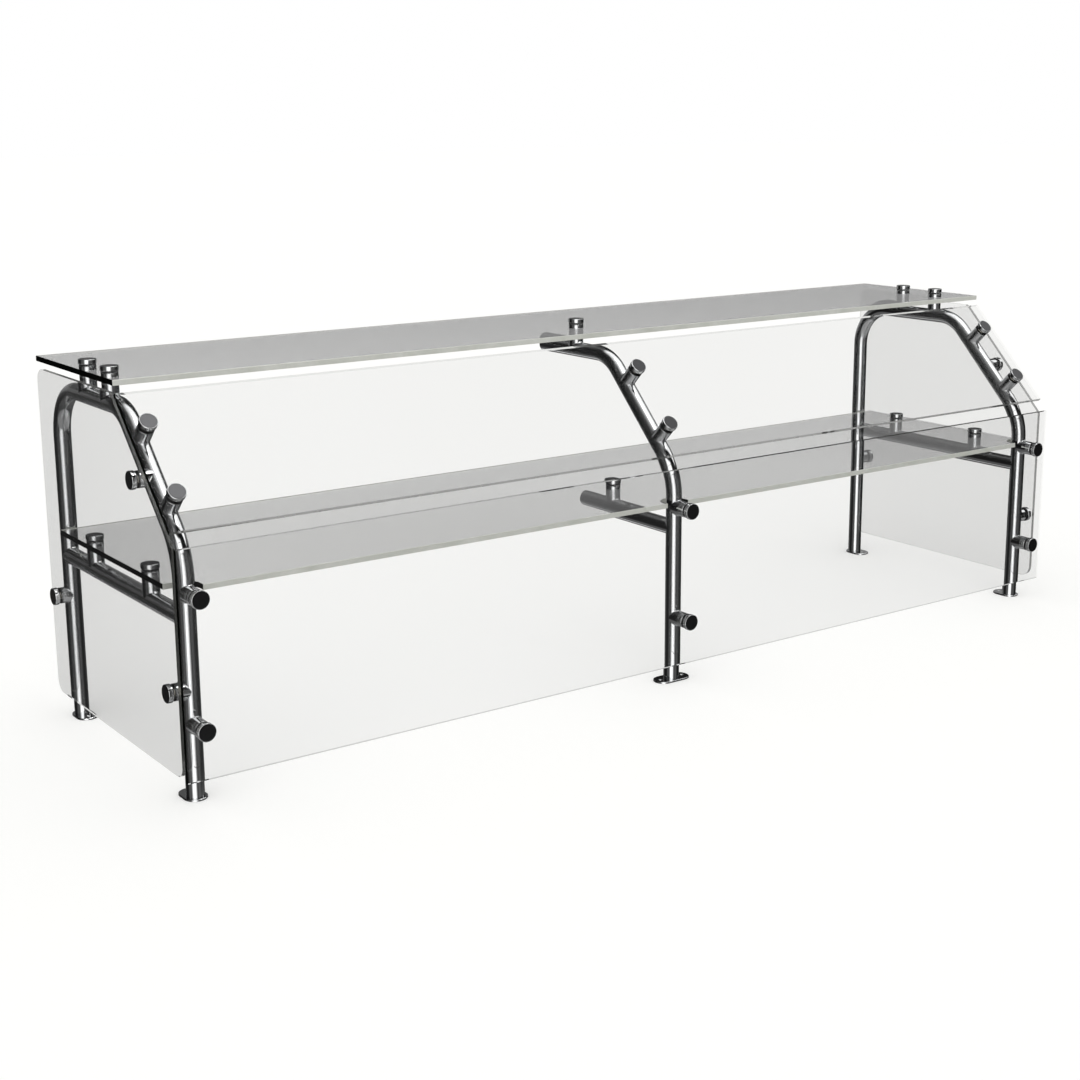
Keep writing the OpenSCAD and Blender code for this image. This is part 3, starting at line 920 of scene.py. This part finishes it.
def plug_rings(s):
    """An end plug: spigot, shoulder, rounded edge and flat face."""
    spigot = s.tube_radius - s.tube_wall - s.plug_gap
    rows = [(CENTRE_SPOT, -s.plug_spigot), (spigot, -s.plug_spigot), (spigot, 0), (s.tube_radius, 0)]
    return turned(rows + turned_face(s.tube_radius, s.plug_thickness, s.plug_edge))


def gasket_rings(s):
    """A gasket: a flat washer."""
    t = s.gasket_thickness
    return turned([(s.gasket_bore, 0), (s.barrel_radius, 0), (s.barrel_radius, t), (s.gasket_bore, t)])


def foot_plate(s, both_ways):
    """A foot plate with round ends, drilled beyond the tube on one side of the post or on both."""
    near = -s.foot_reach if both_ways else 0.0
    outline = np.vstack([arc((0, s.foot_reach), s.foot_radius, 0, 180, HALF_ROUND_STEPS),
                         arc((0, near), s.foot_radius, 180, 360, HALF_ROUND_STEPS)])
    reaches = (s.foot_hole_reach, -s.foot_hole_reach) if both_ways else (s.foot_hole_reach,)
    holes = [hole((0, reach), s.foot_hole_radius) for reach in reaches]
    return plate(outline, holes, s.foot_thickness, s.foot_edge)


def raised(places, heights):
    """Standoff frames moved out along their own Z, once for each height."""
    lifts = np.array([Matrix.Translation((0, 0, height)) for height in heights])
    return np.einsum("mij,hjk->mhik", places, lifts).reshape(-1, 4, 4)


def dress_node(name, build):
    """Gives a CAD node that stays as it is a material."""
    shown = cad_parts[name]
    shown.data.materials.clear()
    shown.data.materials.append(finish_of(build))


# Operators

class GUARD_OT_frames(bpy.types.Operator):
    """Bends the two end frames and the centre frame"""

    bl_idname = "guard.frames"
    bl_label = "Frames"

    def execute(self, context):
        s = context.scene.guard_sizes
        knee = (0.0, s.knee_height)
        base = s.foot_thickness
        rear = s.frame_depth
        end_line = [(0.0, base), knee, shoulder(s), (rear, s.top_height), (rear, base)]
        arm_end = top_middle(s) + s.top_arm_tail - s.plug_thickness
        centre_line = end_line[:3] + [(arm_end, s.top_height)]
        radii = [s.knee_radius, s.arm_radius, s.arm_radius]
        for name, line, x in (("left_end_frame", end_line, -s.bay_width),
                              ("right_end_frame", end_line, s.bay_width),
                              ("centre_frame", centre_line, 0.0)):
            add_piece(name + "_tube", *bent_tube(s, line, radii, x), tube_steel, "tube_steel", name)
        return {"FINISHED"}


class GUARD_OT_rails(bpy.types.Operator):
    """Welds the two shelf rails and the shelf arm between the posts"""

    bl_idname = "guard.rails"
    bl_label = "Shelf rails and arm"

    def execute(self, context):
        s = context.scene.guard_sizes
        arm_end = s.shelf_arm_seat + s.shelf_arm_tail - s.plug_thickness
        for name, x, end, far_post in (("left_shelf_rail", -s.bay_width, s.frame_depth, True),
                                       ("right_shelf_rail", s.bay_width, s.frame_depth, True),
                                       ("centre_shelf_arm", 0.0, arm_end, False)):
            add_piece(name + "_tube", *level_tube(s, x, end, far_post), tube_steel, "tube_steel", name)
        return {"FINISHED"}


class GUARD_OT_plugs(bpy.types.Operator):
    """Closes the free ends of the centre arms with turned plugs"""

    bl_idname = "guard.plugs"
    bl_label = "End plugs"

    def execute(self, context):
        s = context.scene.guard_sizes
        to_rear = Matrix.Rotation(-math.pi / 2, 4, "X")
        for name, y, z in (("top_arm_plug", top_middle(s) + s.top_arm_tail, s.top_height),
                           ("shelf_arm_plug", s.shelf_arm_seat + s.shelf_arm_tail, s.rail_height)):
            place = np.array([Matrix.Translation((0, y - s.plug_thickness, z)) @ to_rear])
            add_turned(name + "_turned", plug_rings(s), False, place, turned_steel, "tube_steel", name)
        return {"FINISHED"}


class GUARD_OT_feet(bpy.types.Operator):
    """Cuts the five foot plates with their screw holes"""

    bl_idname = "guard.feet"
    bl_label = "Feet"

    def execute(self, context):
        s = context.scene.guard_sizes
        bay = s.bay_width
        feet = (("front_left_foot", (-bay, 0), 0, False), ("front_right_foot", (bay, 0), 0, False),
                ("rear_left_foot", (-bay, s.frame_depth), 180, False),
                ("rear_right_foot", (bay, s.frame_depth), 180, False), ("centre_foot", (0, 0), 90, True))
        for name, spot, degrees, both_ways in feet:
            turn = Matrix.Rotation(math.radians(degrees), 4, "Z")
            place = np.array([Matrix.Translation((*spot, 0)) @ turn])
            shape = copies(*foot_plate(s, both_ways), place)
            add_piece(name + "_plate", *shape, tube_steel, "tube_steel", name)
        return {"FINISHED"}


class GUARD_OT_panes(bpy.types.Operator):
    """Cuts and drills the front and end panes"""

    bl_idname = "guard.panes"
    bl_label = "Front and end panes"

    def execute(self, context):
        s = context.scene.guard_sizes
        add_pane(s, "lower_front", front_glass, "pane_glass")
        add_pane(s, "upper_front", upper_glass, "pane_glass")
        for group in ENDS:
            add_pane(s, group, end_glass, "pane_glass")
        return {"FINISHED"}


class GUARD_OT_shelves(bpy.types.Operator):
    """Cuts and drills the two glass shelves"""

    bl_idname = "guard.shelves"
    bl_label = "Shelves"

    def execute(self, context):
        s = context.scene.guard_sizes
        for group in SHELVES:
            add_pane(s, group, shelf_glass, "shelf_glass")
        return {"FINISHED"}


class GUARD_OT_standoffs(bpy.types.Operator):
    """Turns the barrels and caps of the standoffs"""

    bl_idname = "guard.standoffs"
    bl_label = "Standoffs"

    def execute(self, context):
        s = context.scene.guard_sizes
        for group in GROUPS:
            places = standoff_places(s, group)
            inner = seat(s, group)
            barrel = barrel_rings(s, inner - s.tube_radius - s.gasket_thickness)
            add_turned(group + "_barrel_set", barrel, True, places, turned_steel, "standoff_steel",
                       group + "_barrels")
            cap_base = inner + glass_thickness(s, group) + s.gasket_thickness
            on_glass = raised(places, [cap_base])
            add_turned(group + "_cap_set", cap_rings(s), False, on_glass, cap_steel, "standoff_steel",
                       group + "_caps")
        return {"FINISHED"}


class GUARD_OT_seals(bpy.types.Operator):
    """Cuts the gaskets and finishes the sleeves and studs inside the glass"""

    bl_idname = "guard.seals"
    bl_label = "Gaskets, sleeves and studs"

    def execute(self, context):
        s = context.scene.guard_sizes
        for group in GROUPS:
            inner = seat(s, group)
            heights = (inner - s.gasket_thickness, inner + glass_thickness(s, group))
            places = raised(standoff_places(s, group), heights)
            add_turned(group + "_gasket_set", gasket_rings(s), True, places, gasket_rubber, "gasket_rubber",
                       group + "_gaskets")
            dress_node(group + "_sleeves", sleeve_nylon)
            dress_node(group + "_studs", thread_steel)
        return {"FINISHED"}


# Stage

# The photo's camera: where it stands, which way it looks and how it is framed
CAMERA_PLACE = (-1.716, -2.068, 0.910)
CAMERA_AZIMUTH = math.radians(-36.07)
CAMERA_ELEVATION = math.radians(12.57)
CAMERA_ROLL = math.radians(-0.20)
CAMERA_LENS = 57.75
CAMERA_SENSOR = 36.0
CAMERA_SHIFT = (-0.0242, -0.0446)

# The studio: a white room with cards hung far off, which only polished steel and glass show
AMBIENT = 0.8
SUN_STRENGTH = 0.6
SUN_SPREAD = math.radians(60)
SUN_TILT = (math.radians(25), math.radians(-20), 0.0)
FLOOR_HALF = 30.0
FLOOR_LIFT = 0.15
# Cards on a far sphere of cloth, in degrees: middle azimuth, half width and soft edge, lowest and highest
# elevation, and how brightly each glows; the white page is 1
SURROUND_RADIUS = 9.0
CLOTH_GLOW = 0.012
CARD_RIM = 3.0
CARDS = {
    "key at the left front": (-36, 20, 17, -25, 28, 1.9),
    "head of the key": (-28, 30, 12, 28, 45, 1.6),
    "fill at the left": (-85, 15, 15, -25, 28, 0.1),
    "fill at the right front": (22, 20, 20, -25, 28, 0.1),
    "fill high at the left front": (-55, 30, 20, 32, 80, 0.16),
    "level strip behind": (155, 50, 15, 0, 15.5, 0.3),
    "cloth low behind": (155, 50, 15, -25, 0, 0.08),
    "cloth high behind": (178, 20, 10, 15.5, 70, 0.11),
    "grey floor in front": (0, 105, 15, -90, -25, 0.4),
    "grey floor behind": (180, 60, 15, -90, -25, 0.11),
    "shine on the floor behind": (176, 7, 5, -60, -22, 0.6),
}
# A softbox overhead, long the way the guard is, with a brighter lamp in it: middle, half size and soft edge
# as slopes x / z and y / z, and the glow; the slant turns both a little from the guard's length
SOFTBOXES = (
    ((1.25, 1.5, 0.39), (0.04, 0.45, 0.13), 1.65),
    ((0.3, 0.2, 0.1), (-0.17, 0.2, 0.1), 3.5),
)
SOFTBOX_SLANT = 0.16
# Least height of a direction, which keeps the slopes finite at the horizon and below it
LEAST_HEIGHT = 0.01


def mirrored(tree):
    """1 for a ray that has met polished steel or been thrown back by glass, and 0 for the rest."""
    depth = node(tree, "LightPath", {}).outputs["Glossy Depth"]
    return node(tree, "Math", {0: depth, 1: 1.0}, operation="MINIMUM").outputs["Value"]


def mixed_stage_material(name, plain, in_mirrors):
    """A stage material that shows one shader straight and the other in mirrors."""
    material, tree = new_tree(name)
    mix = node(tree, "MixShader", {0: mirrored(tree), 1: plain(tree), 2: in_mirrors(tree)})
    node(tree, "OutputMaterial", {"Surface": mix.outputs["Shader"]})
    return material


def nothing(tree):
    """A shader that lets everything through."""
    return node(tree, "BsdfTransparent", {}).outputs["BSDF"]


def glowing(tree):
    """A card whose brightness is kept at its points."""
    glow = node(tree, "Attribute", {}, attribute_name="glow").outputs["Fac"]
    return node(tree, "Emission", {"Strength": glow}).outputs["Emission"]


def soft_span(off, half, edge):
    """1 within the half width and 0 outside it, by the smooth step 3 t^2 - 2 t^3 over twice the edge."""
    t = np.clip((half + edge - np.abs(off)) / (2 * edge), 0, 1)
    return (3 - 2 * t) * t ** 2


def card_glow(azimuth, elevation, middle, half_width, edge, low, high, glow):
    """Glow of one card at each point of the sphere."""
    across = soft_span((azimuth - middle + 180) % 360 - 180, half_width, edge)
    return glow * across * soft_span(elevation - (low + high) / 2, (high - low) / 2, CARD_RIM)


def softbox_glow(x, y, z, along, across, glow):
    """Glow of one overhead softbox at each direction (x, y, z)."""
    height = np.maximum(z, LEAST_HEIGHT)
    slopes = (x / height, (y + SOFTBOX_SLANT * x) / height)
    for slope, (middle, half, edge) in zip(slopes, (along, across)):
        glow = glow * soft_span(slope - middle, half, edge)
    return glow


def add_surround():
    """The cloth and cards that only mirrors show, on the sphere R (cos e sin a, -cos e cos a, sin e)."""
    azimuth = np.linspace(-180, 180, CARD_STEPS, endpoint=False)
    elevation = np.linspace(-90, 90, CARD_STEPS // 2 + 1)[:, None]
    turn = np.radians(azimuth)
    lift = np.radians(elevation)
    directions = np.broadcast_arrays(np.cos(lift) * np.sin(turn), -np.cos(lift) * np.cos(turn), np.sin(lift))
    grid = SURROUND_RADIUS * np.stack(directions, axis=-1)
    glow = CLOTH_GLOW + sum(softbox_glow(*directions, *box) for box in SOFTBOXES)
    glow += sum(card_glow(azimuth, elevation, *card) for card in CARDS.values())
    material = mixed_stage_material("studio_cards", nothing, glowing)
    faces = [grid_quads(*grid.shape[:2], ring=False)]
    sphere = new_object("studio_surround", grid.reshape(-1, 3), faces, material)
    sphere.data.attributes.new("glow", "FLOAT", "POINT").data.foreach_set("value", glow.ravel())
    sphere.visible_camera = False
    sphere.visible_diffuse = False
    sphere.visible_shadow = False


def shown_background(tree):
    """1 for what the camera sees, straight, mirrored or through glass, and 0 for light on surfaces."""
    path = node(tree, "LightPath", {}).outputs
    seen = node(tree, "Math", {0: path["Is Camera Ray"], 1: path["Is Glossy Ray"]}, operation="MAXIMUM")
    either = {0: seen.outputs["Value"], 1: path["Is Transmission Ray"]}
    return node(tree, "Math", either, operation="MAXIMUM").outputs["Value"]


def add_floor(hue):
    """A pale floor that takes the shadow and is lifted to the white of the page."""
    def pale(tree):
        lift = node(tree, "Math", {0: shown_background(tree), 1: FLOOR_LIFT}, operation="MULTIPLY")
        inputs = {"Base Color": (*hue, 1.0), "Roughness": 1.0, "Specular IOR Level": 0.0,
                  "Emission Color": (1.0, 1.0, 1.0, 1.0), "Emission Strength": lift.outputs["Value"]}
        return node(tree, "BsdfPrincipled", inputs).outputs["BSDF"]

    corners = rectangle(-FLOOR_HALF, FLOOR_HALF, -FLOOR_HALF, FLOOR_HALF)
    material = mixed_stage_material("pale_studio_floor", pale, nothing)
    points = np.insert(corners, 2, 0, axis=1)
    new_object("studio_floor", points, [np.arange(len(points))[None]], material)


def add_world():
    """White all round to the eye, and a plain even light on surfaces."""
    world = bpy.data.worlds.new("studio")
    world.use_nodes = True
    tree = world.node_tree
    tree.nodes.clear()
    ends = {"Value": shown_background(tree), "To Min": AMBIENT, "To Max": 1.0}
    strength = node(tree, "MapRange", ends).outputs["Result"]
    light = node(tree, "Background", {"Color": (1.0, 1.0, 1.0, 1.0), "Strength": strength})
    node(tree, "OutputWorld", {"Surface": light.outputs["Background"]})
    bpy.context.scene.world = world


def add_sun():
    """A wide soft light from above that gives the floor its shadow."""
    lamp = bpy.data.lights.new("soft_top_light", "SUN")
    lamp.energy = SUN_STRENGTH
    lamp.angle = SUN_SPREAD
    light = bpy.data.objects.new("soft_top_light", lamp)
    light.rotation_euler = SUN_TILT
    light.visible_glossy = False
    bpy.context.scene.collection.objects.link(light)


def add_camera():
    """The photo's camera."""
    lens = bpy.data.cameras.new("photo_camera")
    lens.lens = CAMERA_LENS
    lens.sensor_width = CAMERA_SENSOR
    lens.shift_x, lens.shift_y = CAMERA_SHIFT
    camera = bpy.data.objects.new("photo_camera", lens)
    turn = Matrix.Rotation(CAMERA_AZIMUTH, 4, "Z") @ Matrix.Rotation(math.pi / 2 - CAMERA_ELEVATION, 4, "X")
    camera.matrix_world = Matrix.Translation(CAMERA_PLACE) @ turn @ Matrix.Rotation(CAMERA_ROLL, 4, "Z")
    bpy.context.scene.collection.objects.link(camera)
    bpy.context.scene.camera = camera


class GUARD_OT_stage(bpy.types.Operator):
    """Sets the floor, the cards, the light and the camera"""

    bl_idname = "guard.stage"
    bl_label = "Stage"

    def execute(self, context):
        add_floor(context.scene.guard_looks.floor)
        add_surround()
        add_world()
        add_sun()
        add_camera()
        context.scene.view_settings.view_transform = "Standard"
        return {"FINISHED"}


class GUARD_PT_panel(bpy.types.Panel):
    """The guard's steps and colours in the sidebar"""

    bl_idname = "GUARD_PT_panel"
    bl_label = "Sneeze guard"
    bl_space_type = "VIEW_3D"
    bl_region_type = "UI"
    bl_category = "Guard"

    def draw(self, context):
        for step in OPERATORS:
            self.layout.operator(step.bl_idname)
        for name in GuardLooks.__annotations__:
            self.layout.prop(context.scene.guard_looks, name)


OPERATORS = (GUARD_OT_frames, GUARD_OT_rails, GUARD_OT_plugs, GUARD_OT_feet, GUARD_OT_panes, GUARD_OT_shelves,
             GUARD_OT_standoffs, GUARD_OT_seals, GUARD_OT_stage)
CLASSES = (GuardSizes, GuardLooks, *OPERATORS, GUARD_PT_panel)


def register():
    """Adds the classes and the scene's own sizes and colours."""
    for kind in CLASSES:
        bpy.utils.register_class(kind)
    bpy.types.Scene.guard_sizes = PointerProperty(type=GuardSizes)
    bpy.types.Scene.guard_looks = PointerProperty(type=GuardLooks)


def unregister():
    """Takes them away again."""
    del bpy.types.Scene.guard_looks
    del bpy.types.Scene.guard_sizes
    for kind in reversed(CLASSES):
        bpy.utils.unregister_class(kind)


def main():
    """Builds the guard and its stage."""
    register()
    bpy.ops.guard.frames()
    bpy.ops.guard.rails()
    bpy.ops.guard.plugs()
    bpy.ops.guard.feet()
    bpy.ops.guard.panes()
    bpy.ops.guard.shelves()
    bpy.ops.guard.standoffs()
    bpy.ops.guard.seals()
    bpy.ops.guard.stage()


if __name__ == "__main__":
    main()
